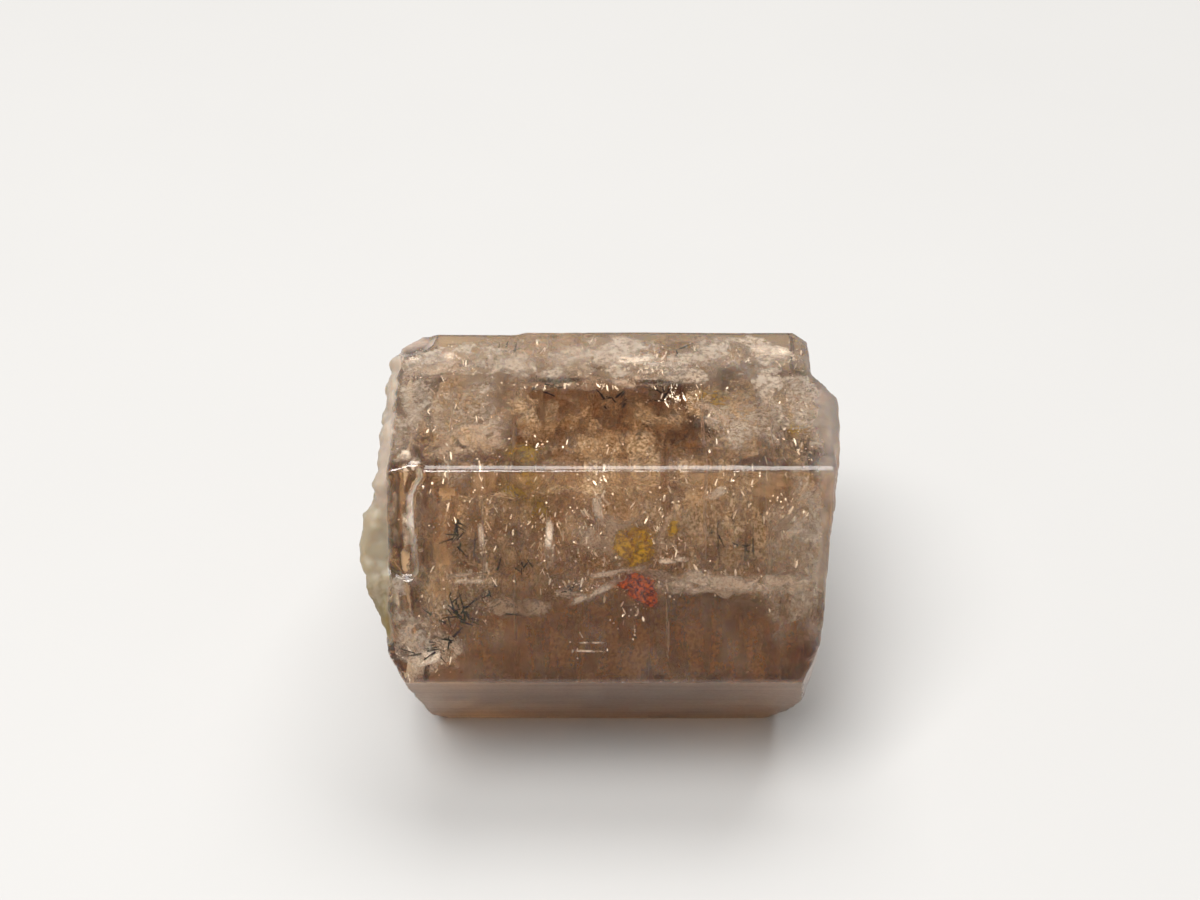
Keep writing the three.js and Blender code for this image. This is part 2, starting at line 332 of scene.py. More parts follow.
def crust_colour(tree, place):
    """White on the rim, cream on the knob and olive yellow under it."""
    height = weighted(tree, split(tree, place)[2], (noise_at(tree, place, 0.9, 3, 0.7), 5.0))
    lower = blend_colour(tree, ramp(tree, height, 14.0, 15.5), CRUST_OLIVE, CRUST_CREAM)
    return blend_colour(tree, ramp(tree, height, 17.5, 19.0), lower, CRUST_WHITE)


def apatite_material():
    material, tree, place = new_material("hazy_apatite")
    height = split(tree, place)[2]
    cloud = noise_at(tree, place, 0.24, 3, 0.6, 0.4)
    curdle = noise_at(tree, place, 0.75, 5, 0.66, 0.5)
    speckle = noise_at(tree, place, 5.0, 3, 0.7)
    crust = attribute_share(tree, "crust")
    broken = attribute_share(tree, "broken")
    natural = attribute_share(tree, "natural")
    haze, far_edge, ends = surface_haze(tree, place, curdle)
    edge = edge_wear(tree, place)

    edge_frost = product(tree, edge, ramp(tree, speckle, 0.3, 0.6, 0.1, 0.28))
    break_frost = product(tree, broken, ramp(tree, height, 12.5, 15.5, 0.3, 0.6))
    end_frost = weighted(tree, break_frost, (natural, 0.1))
    end_frost = product(tree, end_frost, ramp(tree, curdle, 0.35, 0.65, 0.2, 1.0))
    frost = greatest(tree, edge_frost, end_frost)

    milk = blend_colour(tree, ramp(tree, cloud, 0.35, 0.65), MILKY_TAN, MILKY_PINK)
    white = greatest(tree, product(tree, far_edge, 0.85), product(tree, ends, 0.9))
    white = greatest(tree, white, ramp(tree, curdle, 0.5, 0.72))
    milk = blend_colour(tree, white, milk, MILKY_WHITE)
    colour = blend_colour(tree, ramp(tree, haze, 0.0, 0.35), CLEAR_TINT, milk)
    colour = blend_colour(tree, frost, colour, FROSTED)
    colour = blend_colour(tree, crust, colour, crust_colour(tree, place))

    cloudy = greatest(tree, haze, frost, product(tree, crust, 0.6))
    clear = maths(tree, "SUBTRACT", 1.0, cloudy, clamp=True)
    etched = ramp(tree, noise_at(tree, place, 0.6, 3, 0.65), 0.45, 0.8, 0.01, 0.035)
    on_sides = maths(tree, "SUBTRACT", 1.0, greatest(tree, natural, broken), clamp=True)
    rubbed = product(tree, ramp(tree, height, 8.9, 8.5), ramp(tree, speckle, 0.3, 0.7, 0.34, 0.48), on_sides)
    worn = greatest(tree, product(tree, frost, 0.5), product(tree, crust, 0.55), product(tree, edge, 0.55))
    roughness = greatest(tree, etched, rubbed, worn)

    streak = noise_at(tree, stretched(tree, place, (0.12, 1, 1)), 2.2, 3, 0.6)
    grit = product(tree, greatest(tree, crust, broken), speckle)
    relief = weighted(tree, grit, (streak, 0.5), (speckle, 0.25))
    bump = node(tree, "ShaderNodeBump", {"Height": relief, "Strength": 0.12, "Distance": 0.00005})
    shader = node(
        tree,
        "ShaderNodeBsdfPrincipled",
        {
            "Base Color": colour,
            "Roughness": roughness,
            "IOR": APATITE_IOR,
            "Transmission Weight": clear,
            "Subsurface Weight": 1.0,
            "Subsurface Radius": (1.0, 0.7, 0.45),
            "Subsurface Scale": 0.0016,
            "Normal": bump.outputs[0],
        },
    )
    absorbing = node(
        tree, "ShaderNodeVolumeAbsorption", {"Color": (*BODY_BROWN, 1), "Density": BROWN_DENSITY}
    )
    node(tree, "ShaderNodeOutputMaterial", {"Surface": shader.outputs[0], "Volume": absorbing.outputs[0]})
    return material


crystal_mesh = evenly_divided(mesh_in_millimetres(crystal_node), TRIANGLE_SIZE)
soften_crust(crystal_mesh)
carve_surface(crystal_mesh)
crystal_mesh.transform(Matrix.Scale(MM, 4))
crystal_mesh.shade_smooth()
crystal_mesh.name = "apatite_crystal"
crystal_mesh.materials.clear()
crystal_mesh.materials.append(apatite_material())
crystal = bpy.data.objects.new("apatite_crystal", crystal_mesh)
bpy.context.scene.collection.objects.link(crystal)
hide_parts("crystal")
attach(crystal, "root")

# Healed cracks and milky clouds: old breaks inside the crystal that closed again and trapped films
# of tiny bubbles. They hang in the clear apatite as pale, ragged, slightly curved sheets, and the
# one below the middle of the near side parts its hazy upper half from its clearer lower half. The
# low sheets along the bottom are dark brown instead, and they are painted shade.
TOP, NEAR_UPPER, NEAR_LOWER, BOTTOM, FAR_LOWER, FAR_UPPER = 90, 150, 210, 270, 330, 30
LEAST_COVER = 0.25
SHEET_CELL = 0.2
skin_work = bmesh.new()
skin_work.from_mesh(mesh_in_millimetres(crystal_node))
crystal_skin = BVHTree.FromBMesh(skin_work)
skin_work.free()


def face_axes(face):
    """The directions along a prism face, down it from its upper edge, and out of it."""
    angle = math.radians(face)
    down = Vector((0, -math.sin(angle), math.cos(angle)))
    return Vector((1, 0, 0)), down, Vector((0, math.cos(angle), math.sin(angle)))


def under_face(face, along, down, depth):
    """A place in millimetres: along the crystal, down a prism face from its upper edge, and deep."""
    _, downward, out = face_axes(face)
    return Vector((along, 0, APOTHEM)) + out * (APOTHEM - depth) + downward * (down - FACE_WIDTH / 2)


def is_inside(place, cover=LEAST_COVER):
    nearest, outward, _, distance = crystal_skin.find_nearest(place)
    return (place - nearest).dot(outward) < 0 and distance > cover


def add_sheet(work, fade_layer, centre, size, tilt, turn, ripple, seed, cell=SHEET_CELL):
    """Adds a ragged sheet: tilt 90 stands it edge on to the face, turn 90 runs it down the face."""
    face, along, down, depth = centre
    middle = under_face(face, along, down, depth)
    axis, downward, out = face_axes(face)
    turned = Matrix.Rotation(math.radians(turn), 3, out)
    across = turned @ axis
    upward = Matrix.Rotation(math.radians(tilt), 3, across) @ (turned @ downward)
    outward = across.cross(upward)
    columns = max(3, round(size[0] / cell))
    rows = max(3, round(size[1] / cell))
    grid = []
    for row in range(rows + 1):
        line = []
        for column in range(columns + 1):
            u, v = column / columns * 2 - 1, row / rows * 2 - 1
            flat = middle + across * u * size[0] / 2 + upward * v * size[1] / 2
            lift = noise.fractal(flat * 0.4 + Vector((seed, 0, 0)), 1.0, 2.0, 5)
            place = flat + outward * ripple * lift
            ragged = noise.fractal(flat * 0.9 + Vector((0, seed, 0)), 1.0, 2.0, 5)
            if not is_inside(place):
                line.append(None)
                continue
            corner = work.verts.new(place)
            corner[fade_layer] = float(smooth_step(1.0, 0.5, math.hypot(u, v) + 0.4 * ragged))
            line.append(corner)
        grid.append(line)
    for low, high in zip(grid, grid[1:]):
        for i in range(columns):
            corners = (low[i], low[i + 1], high[i + 1], high[i])
            if all(corners) and any(corner[fade_layer] > 0 for corner in corners):
                work.faces.new(corners)


def inner_piece(name, mesh, material):
    """Puts a finished mesh inside the crystal, riding on it."""
    mesh.name = name
    mesh.materials.clear()
    mesh.materials.append(material)
    piece = bpy.data.objects.new(name, mesh)
    bpy.context.scene.collection.objects.link(piece)
    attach(piece, "root")
    return piece


def sheets_mesh(sheets):
    work = bmesh.new()
    fade_layer = work.verts.layers.float.new("fade")
    for index, (centre, size, tilt, turn, ripple) in enumerate(sheets):
        add_sheet(work, fade_layer, centre, size, tilt, turn, ripple, index * 3.1)
    bmesh.ops.delete(work, geom=[v for v in work.verts if not v.link_faces], context="VERTS")
    bmesh.ops.scale(work, vec=(MM,) * 3, verts=work.verts)
    mesh = bpy.data.meshes.new("sheets")
    work.to_mesh(mesh)
    work.free()
    mesh.shade_smooth()
    return mesh


def film_material(
    name, colours, scale, shown_from, strength, least=0.0, stretch=(1, 1, 1), swirl=0.8, holes=0.7,
    metallic=0.0, roughness=0.6, gloss=0.5
):
    """A film that thickens where its noise is high, is pierced by holes, and fades out at its rim."""
    material, tree, place = new_material(name)
    wisps = noise_at(tree, stretched(tree, place, stretch), scale, 5, 0.62, swirl)
    grainy = noise_at(tree, place, scale * 7, 2, 0.7)
    unbroken = ramp(tree, grainy, 0.3, 0.65, 1 - holes, 1.0)
    shown = ramp(tree, wisps, *shown_from, least, 1.0)
    shown = product(tree, shown, attribute_share(tree, "fade"), unbroken)
    shader = node(
        tree,
        "ShaderNodeBsdfPrincipled",
        {
            "Base Color": blend_colour(tree, ramp(tree, grainy, 0.35, 0.65), *colours),
            "Roughness": maths(tree, "MULTIPLY_ADD", grainy, 0.3, roughness - 0.15),
            "Metallic": metallic,
            "Specular IOR Level": gloss,
            "Alpha": maths(tree, "MULTIPLY", shown, strength, clamp=True),
        },
    )
    node(tree, "ShaderNodeOutputMaterial", {"Surface": shader.outputs[0]})
    return material


# Each cloud or crack: (face, along, down, depth), (length, width), tilt, turn, ripple
FAR_MILK = [
    ((TOP, -7.6, 1.4, 0.35), (6.0, 3.0), 6, -8, 0.3),
    ((TOP, -8.5, 1.7, 0.3), (4.4, 2.0), 4, 16, 0.2),
    ((TOP, -9.8, 2.2, 0.75), (4.5, 2.0), -38, 90, 0.1),
    ((FAR_UPPER, -9.6, 1.8, 0.6), (2.4, 3.4), 6, 8, 0.2),
    ((TOP, -1.0, 1.2, 0.45), (9.5, 2.4), 6, 2, 0.4),
    ((TOP, 1.8, 2.5, 0.5), (4.6, 1.5), 8, 4, 0.4),
    ((TOP, 7.4, 1.3, 0.4), (6.5, 2.8), -4, -4, 0.4),
    ((TOP, -4.4, 2.4, 0.8), (8.0, 2.2), 12, -4, 0.5),
    ((TOP, 4.8, 2.2, 0.9), (8.0, 2.4), 10, 5, 0.5),
    ((TOP, 0.0, 1.7, 1.5), (18, 3.2), 24, 0, 0.7),
    ((TOP, 9.0, 4.4, 0.6), (3.4, 5.0), 8, 10, 0.5),
    ((FAR_UPPER, 0.0, 1.8, 0.8), (18, 3.2), 8, 1, 0.6),
]
HAZE_CLOUDS = [
    ((TOP, -7.0, 6.4, 1.3), (6, 6.6), -8, -14, 0.9),
    ((TOP, -6.0, 5.4, 2.8), (7, 8), 10, 20, 1.2),
    ((TOP, 7.8, 6.0, 1.2), (6.4, 7.0), 10, 14, 0.9),
    ((TOP, 7.0, 5.2, 2.8), (7, 8), -8, -10, 1.2),
    ((TOP, 0.5, 9.4, 1.3), (15, 2.2), -14, 1, 0.7),
    ((TOP, 0.6, 8.2, 1.1), (7.5, 2.6), 10, 2, 0.5),
    ((TOP, -3.4, 5.6, 0.9), (2.4, 3.8), 12, 20, 0.5),
    ((TOP, 4.1, 5.4, 0.9), (2.2, 4.0), -12, -16, 0.5),
    ((TOP, -2.2, 5.2, 1.6), (3.2, 2.0), 30, 12, 0.5),
    ((TOP, 2.9, 5.8, 1.8), (3.0, 2.6), -30, -24, 0.5),
    ((TOP, 0.3, 5.8, 3.6), (9, 5), 8, 3, 0.9),
    ((TOP, -1.0, 6.0, 6.5), (16, 9), 10, 5, 2.4),
    ((TOP, 1.0, 5.0, 9.0), (17, 9), -10, -8, 2.4),
    ((NEAR_UPPER, 5.4, 2.9, 1.4), (12, 5.4), 5, 2, 0.9),
    ((NEAR_UPPER, 3.8, 2.7, 2.6), (14, 5.8), -8, -5, 1.2),
    ((NEAR_UPPER, -4.6, 2.6, 2.6), (8, 4.2), -6, -6, 1.0),
    ((NEAR_UPPER, -3.6, 3.4, 3.0), (11, 6.4), 9, 8, 1.3),
    ((NEAR_UPPER, 0.0, 4.8, 4.6), (18, 7.5), 12, 0, 2.0),
    ((NEAR_UPPER, -6.8, 7.0, 1.5), (6, 5.6), 8, 18, 1.0),
    ((NEAR_UPPER, 1.0, 8.2, 4.4), (17, 4.4), -14, -4, 1.4),
    ((FAR_UPPER, 1.0, 4.6, 2.0), (17, 7.5), 6, 3, 1.4),
    ((FAR_LOWER, -2.0, 5.0, 2.6), (16, 8.0), -8, -5, 1.4),
    ((FAR_LOWER, 2.0, 5.0, 4.6), (16, 8.0), 12, 8, 1.8),
    ((NEAR_LOWER, 0.5, 5.0, 2.6), (16, 6.5), 10, 3, 1.4),
]
HEALED_CRACKS = [
    ((NEAR_UPPER, 4.6, 5.5, 1.5), (13.5, 2.4), 64, 2, 0.9),
    ((NEAR_UPPER, 6.4, 5.7, 0.8), (8.0, 1.1), 30, 1, 0.5),
    ((NEAR_UPPER, -4.4, 6.6, 1.6), (5.2, 1.8), 62, -8, 0.8),
    ((NEAR_UPPER, -6.2, 5.2, 0.9), (2.0, 0.7), 50, 2, 0.2),
    ((NEAR_UPPER, -8.2, 8.5, 0.8), (3.8, 3.2), 12, 20, 0.3),
    ((NEAR_UPPER, 6.2, 5.4, 0.55), (8.4, 0.9), 12, 1.5, 0.2),
    ((NEAR_UPPER, 4.4, 5.3, 0.6), (1.6, 1.5), 10, 30, 0.2),
    ((NEAR_UPPER, 9.2, 2.5, 0.6), (0.9, 0.5), 20, 30, 0.1),
    ((NEAR_UPPER, -6.4, 5.0, 0.6), (1.4, 0.25), 20, 4, 0.1),
    ((NEAR_UPPER, -0.5, 5.9, 0.45), (3.0, 0.4), 10, 25, 0.08),
    ((NEAR_UPPER, 0.6, 4.9, 0.5), (3.6, 0.34), 12, 8, 0.2),
    ((NEAR_UPPER, -8.75, 2.6, 0.45), (3.8, 0.5), 20, 93, 0.3),
    ((NEAR_UPPER, -8.95, 4.85, 0.4), (1.9, 0.4), 12, 8, 0.1),
    ((TOP, -9.0, 9.5, 0.4), (1.6, 1.3), 6, 10, 0.1),
    ((NEAR_UPPER, -1.4, 6.0, 0.9), (2.0, 0.8), 50, -12, 0.3),
    ((NEAR_UPPER, 0.2, 5.6, 0.9), (1.6, 0.7), 50, 40, 0.3),
    ((NEAR_UPPER, -0.1, 2.0, 1.4), (2.8, 1.8), 66, 84, 0.4),
    ((NEAR_UPPER, -2.4, 3.6, 1.4), (2.6, 1.6), 66, 96, 0.4),
    ((NEAR_UPPER, 0.3, 3.2, 1.6), (4.6, 2.4), 34, 12, 0.7),
    ((NEAR_UPPER, 3.1, 3.2, 1.5), (3.0, 2.2), 40, 70, 0.6),
    ((NEAR_UPPER, 8.9, 3.0, 1.4), (3.8, 3.0), 46, 50, 0.6),
    ((TOP, 1.9, 3.4, 0.9), (3.4, 1.1), 30, 3, 0.3),
    ((TOP, -1.2, 3.1, 1.6), (9.5, 1.5), 68, 1, 0.5),
    ((TOP, -8.0, 2.2, 0.9), (3.2, 1.7), 20, 16, 0.5),
    ((TOP, 8.6, 1.4, 0.9), (3.2, 1.4), 24, -8, 0.4),
    ((TOP, 5.2, 5.8, 1.0), (3.0, 1.3), 40, -52, 0.4),
    ((TOP, -6.2, 7.4, 1.3), (4.0, 2.2), 40, 30, 0.6),
    ((FAR_UPPER, -3.0, 5.0, 1.5), (8.0, 2.4), 60, 10, 0.9),
    ((FAR_LOWER, 3.0, 4.5, 1.5), (9.0, 2.4), 66, -6, 0.9),
    ((NEAR_LOWER, -3.0, 4.5, 1.6), (7.0, 2.2), 60, 4, 0.8),
]
# Painted shade: dark brown sheets just inside the lower faces and the foot of the near side. They darken
# these faces as if they showed and mirrored the shaded ground under the crystal.
PAINTED_SHADE_SHEETS = [
    ((NEAR_UPPER, -6.4, 3.2, 3.4), (8, 7), 6, 0, 0.8),
    ((NEAR_UPPER, 0.5, 8.6, 1.2), (23, 4.8), 3, 0, 0.4),
    ((NEAR_UPPER, 0.5, 8.0, 2.2), (23, 5.0), -6, 1, 0.7),
    ((NEAR_LOWER, 0.0, 4.0, 0.6), (21, 7.5), 2, 0, 0.4),
    ((NEAR_LOWER, 0.0, 5.0, 1.7), (21, 8.0), -4, 1, 0.6),
    ((BOTTOM, 0.0, 5.0, 0.7), (21, 9.0), 2, 0, 0.5),
    ((BOTTOM, 7.6, 5.0, 1.4), (8, 10.0), 3, 4, 0.6),
    ((FAR_LOWER, 6.0, 5.0, 1.0), (10, 10.0), 3, 4, 0.6),
]
END_CLOUDS = [
    ((NEAR_UPPER, 9.7, 4.2, 0.6), (2.8, 9.0), 6, 2, 0.3),
    ((NEAR_UPPER, 9.2, 5.0, 1.4), (3.6, 9.0), 16, -4, 0.5),
    ((TOP, 9.9, 6.0, 0.6), (2.6, 7.0), 6, 4, 0.3),
    ((TOP, -6.6, 5.6, 1.1), (4.6, 6.4), 10, 8, 0.6),
    ((TOP, 6.9, 5.4, 1.1), (5.0, 6.6), -10, -6, 0.6),
    ((TOP, -9.1, 5.4, 0.7), (2.2, 8.0), 6, -3, 0.3),
    ((TOP, -9.5, 4.6, 0.45), (2.4, 9.4), 3, 2, 0.2),
    ((NEAR_UPPER, -9.4, 3.4, 0.4), (2.2, 8.0), 3, -2, 0.2),
    ((NEAR_UPPER, -9.0, 8.0, 0.5), (2.4, 4.0), 4, 6, 0.2),
    ((NEAR_UPPER, 9.3, 4.6, 4.0), (9.0, 7.0), 90, 90, 1.0),
    ((NEAR_UPPER, 8.2, 4.6, 4.6), (9.0, 8.0), 84, 88, 1.2),
    ((NEAR_UPPER, -8.4, 4.6, 4.0), (8.0, 7.0), 92, 94, 1.2),
    ((TOP, 9.0, 5.2, 4.0), (8.0, 7.0), 88, 90, 1.0),
]
cloud_colours = ((0.6, 0.4, 0.2), (1.0, 0.83, 0.62))
milk_colours = ((0.82, 0.7, 0.6), (1.0, 0.97, 0.93))
# dark browns of the painted shade sheets
painted_shade_colours = ((0.28, 0.12, 0.035), (0.4, 0.195, 0.07))
crack_colours = ((0.86, 0.66, 0.52), (1.0, 0.9, 0.8))
upright = (1, 0.42, 0.42)
across_length = (1, 0.16, 0.16)
far_milk = film_material("far_milk", milk_colours, 0.55, (0.42, 0.56), 1.3, least=0.12)
milky_cloud = film_material(
    "milky_cloud", cloud_colours, 0.85, (0.42, 0.6), 0.95, least=0.05, stretch=upright, holes=0.5, gloss=0.15
)
end_milk = film_material("end_milk", milk_colours, 0.7, (0.38, 0.6), 0.8, least=0.2)
# the film of the painted shade sheets along the lower faces
painted_shade_film = film_material(
    "painted_shade_film", painted_shade_colours, 0.9, (0.35, 0.62), 0.9, least=0.45, stretch=across_length, holes=0.15, gloss=0.1
)
healed_crack = film_material(
    "healed_crack", crack_colours, 1.3, (0.34, 0.54), 1.4, holes=0.5, metallic=0.1, roughness=0.4
)
crack_mesh = sheets_mesh(HEALED_CRACKS)
cloud_mesh = sheets_mesh(HAZE_CLOUDS)
inner_piece("far_edge_haze", sheets_mesh(FAR_MILK), far_milk)
inner_piece("milky_clouds", cloud_mesh, milky_cloud)
inner_piece("end_clouds", sheets_mesh(END_CLOUDS), end_milk)
# the dark sheets of painted shade along the lower faces
inner_piece("painted_shade_sheets", sheets_mesh(PAINTED_SHADE_SHEETS), painted_shade_film)
inner_piece("healed_cracks", crack_mesh, healed_crack)

# Basal partings: flat cracks square to the crystal's length, which is how apatite likes to part.
# Seen from the side they are fine upright lines of light, broken where the crack healed.
PARTING_COLOURS = ((0.85, 0.7, 0.58), (1.0, 0.93, 0.87))
DARK_PARTING_COLOURS = ((0.02, 0.01, 0.005), (0.12, 0.055, 0.02))
BASAL_PARTINGS = [
    ((NEAR_UPPER, -5.44, 3.8, 1.4), (6.4, 2.4), 86, 90, 0.1),
    ((NEAR_UPPER, -4.0, 7.0, 1.2), (4.4, 1.8), 86, 90, 0.12),
    ((NEAR_UPPER, -2.5, 3.2, 1.0), (3.0, 1.4), 85, 90, 0.1),
    ((NEAR_UPPER, -0.1, 2.2, 0.9), (3.4, 1.2), 86, 91, 0.1),
    ((NEAR_UPPER, 3.0, 7.6, 1.0), (3.6, 1.4), 94, 91, 0.1),
    ((NEAR_UPPER, 4.75, 2.6, 1.1), (4.8, 1.8), 94, 89, 0.1),
    ((NEAR_UPPER, 7.6, 3.8, 1.2), (5.0, 1.8), 95, 90, 0.12),
    ((NEAR_UPPER, 9.6, 4.4, 1.0), (6.0, 1.6), 94, 90, 0.12),
    ((TOP, -4.1, 6.0, 1.2), (6.8, 2.2), 86, 90, 0.12),
    ((TOP, -7.0, 5.4, 1.0), (5.0, 1.8), 86, 90, 0.12),
    ((TOP, 4.75, 6.0, 1.2), (7.4, 2.2), 94, 90, 0.12),
    ((TOP, 7.9, 5.6, 1.0), (7.0, 1.8), 94, 90, 0.12),
    ((FAR_UPPER, -2.6, 5.0, 1.4), (7.2, 2.6), 86, 90, 0.12),
    ((FAR_LOWER, 4.2, 5.0, 1.4), (7.2, 2.6), 94, 90, 0.12),
    ((NEAR_LOWER, 2.2, 4.8, 1.4), (6.4, 2.4), 86, 90, 0.12),
]
DARK_PARTINGS = [
    ((NEAR_UPPER, 5.3, 3.4, 1.0), (2.8, 0.9), 94, 90, 0.1),
    ((NEAR_UPPER, 6.6, 3.7, 0.9), (3.2, 1.0), 95, 90, 0.1),
    ((NEAR_UPPER, 6.95, 3.4, 0.9), (2.2, 0.7), 95, 89, 0.1),
    ((NEAR_UPPER, -5.8, 3.6, 1.2), (1.8, 0.8), 86, 90, 0.1),
    ((TOP, 1.0, 4.6, 1.2), (1.8, 0.8), 88, 84, 0.1),
    ((TOP, -2.2, 3.4, 0.7), (3.4, 0.5), 60, 1, 0.1),
    ((TOP, 2.4, 3.5, 0.7), (2.6, 0.5), 60, -1, 0.1),
]
parting_mesh = sheets_mesh(BASAL_PARTINGS)
basal_parting = film_material(
    "basal_parting", PARTING_COLOURS, 1.2, (0.38, 0.5), 1.4, metallic=0.3, roughness=0.35
)
stained_parting = film_material("stained_parting", DARK_PARTING_COLOURS, 1.4, (0.35, 0.5), 1.3, least=0.2)
inner_piece("basal_partings", parting_mesh, basal_parting)
inner_piece("stained_partings", sheets_mesh(DARK_PARTINGS), stained_parting)

# Glints: flat gas-filled gaps, a tenth of a millimetre or two across, strewn along the healed
# cracks. They are mirrors, and most of a swarm lies one way, so swarms of them flash together.
GLINT_RADIUS = 0.1
GLINT_SEED = 4
SWARM_FULLNESS = 3
FLASH_UNDER_TOP = (-0.08, -0.32, 0.94)
FLASH_UNDER_NEAR = (-0.08, -0.53, 0.84)
FLASH_UNDER_FAR = (0.1, 0.6, 0.8)
# Each swarm: (face, along, down, depth), how far it spreads along and down, how many glints
NEAR_SWARMS = [
    ((NEAR_UPPER, -0.1, 1.3, 1.0), (0.25, 0.9), 14),
    ((NEAR_UPPER, -2.5, 3.5, 1.0), (0.25, 0.8), 24),
    ((NEAR_UPPER, 0.2, 3.4, 1.1), (1.6, 0.8), 70),
    ((NEAR_UPPER, 3.1, 3.3, 1.1), (0.5, 0.8), 30),
    ((NEAR_UPPER, -7.2, 7.3, 1.0), (0.9, 0.9), 24),
    ((NEAR_UPPER, -8.2, 8.9, 0.6), (0.6, 0.4), 22),
    ((NEAR_UPPER, -6.2, 5.2, 0.8), (0.7, 0.25), 20),
    ((NEAR_UPPER, 5.8, 1.0, 0.8), (0.4, 0.2), 5),
    ((NEAR_UPPER, 8.75, 2.6, 1.0), (0.5, 0.6), 24),
    ((NEAR_UPPER, 4.5, 5.4, 1.2), (1.6, 0.4), 44),
    ((NEAR_UPPER, 8.2, 5.6, 1.2), (1.6, 0.4), 30),
    ((NEAR_UPPER, 0.3, 5.6, 0.8), (1.4, 0.3), 34),
    ((NEAR_UPPER, -1.0, 8.2, 0.7), (0.6, 0.4), 2),
    ((NEAR_UPPER, 1.2, 7.0, 0.9), (0.4, 0.6), 8),
    ((NEAR_UPPER, -4.6, 2.2, 1.2), (2.0, 1.2), 40),
    ((NEAR_UPPER, 5.0, 2.6, 1.6), (4.0, 1.4), 60),
    ((NEAR_UPPER, -5.4, 4.4, 1.2), (0.15, 1.8), 26),
]
TOP_SWARMS = [
    ((TOP, 1.9, 2.3, 0.7), (1.2, 0.35), 40),
    ((TOP, -8.2, 2.0, 0.7), (1.0, 0.5), 34),
    ((TOP, 8.2, 1.5, 0.7), (1.2, 0.4), 34),
    ((TOP, 3.9, 4.5, 0.9), (0.6, 0.4), 20),
    ((TOP, 5.2, 6.0, 0.9), (0.6, 0.8), 22),
    ((TOP, -1.4, 8.0, 0.9), (2.4, 0.5), 14),
    ((TOP, -6.6, 6.4, 0.9), (1.2, 1.4), 30),
    ((TOP, 0.0, 1.3, 0.7), (6.5, 0.6), 70),
    ((TOP, 9.2, 5.4, 0.8), (0.6, 2.0), 30),
    ((TOP, -1.0, 3.4, 1.2), (4.0, 0.2), 40),
]
FAR_SWARMS = [
    ((FAR_UPPER, -3.0, 5.0, 1.0), (3.5, 1.5), 60),
    ((FAR_UPPER, 5.0, 3.0, 1.0), (2.0, 1.5), 40),
    ((FAR_LOWER, 3.0, 4.5, 1.0), (3.5, 1.5), 50),
    ((NEAR_LOWER, -2.0, 4.5, 0.9), (5.0, 1.0), 40),
]


def swarm_points(swarms, seed, cover, fullness=1):
    """A point for each member of each swarm, gathered round the swarm's middle."""
    pick = random.Random(seed)
    points = []
    for (face, along, down, depth), (spread_along, spread_down), count in swarms:
        for _ in range(count * fullness):
            aside, below = pick.gauss(0, spread_along), pick.gauss(0, spread_down)
            point = under_face(face, along + aside, down + below, depth + pick.uniform(0, 0.5))
            if is_inside(point, cover):
                points.append(point * MM)
    mesh = bpy.data.meshes.new("swarm_points")
    mesh.from_pydata(points, [], [])
    return mesh


def geometry_group(name, inputs):
    """A Geometry Nodes tree with named inputs, and each input's identifier."""
    tree = bpy.data.node_groups.new(name, "GeometryNodeTree")
    tree.interface.new_socket("Geometry", in_out="INPUT", socket_type="NodeSocketGeometry")
    tree.interface.new_socket("Geometry", in_out="OUTPUT", socket_type="NodeSocketGeometry")
    identifiers = {}
    for label, kind in inputs.items():
        socket = tree.interface.new_socket(label, in_out="INPUT", socket_type=kind)
        identifiers[label] = socket.identifier
    return tree, identifiers


def random_number(tree, low, high, seed):
    made = node(tree, "FunctionNodeRandomValue", {2: low, 3: high, "Seed": seed}, data_type="FLOAT")
    return made.outputs[1]


def random_vector(tree, low, high, seed):
    ends = {0: (low,) * 3, 1: (high,) * 3, "Seed": seed}
    return node(tree, "FunctionNodeRandomValue", ends, data_type="FLOAT_VECTOR").outputs[0]


def grown_mesh(source, tree, identifiers, sizes):
    """Runs a Geometry Nodes tree on a mesh, and gives back the plain mesh that it makes."""
    holder = bpy.data.objects.new("holder", source)
    bpy.context.scene.collection.objects.link(holder)
    modifier = holder.modifiers.new("grow", "NODES")
    modifier.node_group = tree
    for label, value in sizes.items():
        modifier[identifiers[label]] = value
    depsgraph = bpy.context.evaluated_depsgraph_get()
    result = bpy.data.meshes.new_from_object(holder.evaluated_get(depsgraph))
    holder.modifiers.remove(modifier)
    bpy.data.objects.remove(holder)
    return result


def repeated_on_points(tree, given, shape, rotation, scale, material):
    """Ends a tree: puts the shape on every point, realized and with its material."""
    points = node(tree, "GeometryNodeMeshToPoints", {"Mesh": given["Geometry"]})
    placed = node(
        tree,
        "GeometryNodeInstanceOnPoints",
        {"Points": points.outputs[0], "Instance": shape, "Rotation": rotation, "Scale": scale},
    )
    real = node(tree, "GeometryNodeRealizeInstances", {"Geometry": placed.outputs[0]})
    coated = node(tree, "GeometryNodeSetMaterial", {"Geometry": real.outputs[0], "Material": material})
    node(tree, "NodeGroupOutput", {"Geometry": coated.outputs[0]})


def glint_material():
    material, tree, place = new_material("glint")
    grainy = noise_at(tree, place, 3.0, 4, 0.7)
    shader = node(
        tree,
        "ShaderNodeBsdfPrincipled",
        {
            "Base Color": blend_colour(tree, grainy, (1.0, 0.88, 0.74), (1.0, 0.97, 0.93)),
            "Roughness": maths(tree, "MULTIPLY_ADD", grainy, 0.3, 0.15),
            "Metallic": 0.85,
        },
    )
    node(tree, "ShaderNodeOutputMaterial", {"Surface": shader.outputs[0]})
    return material


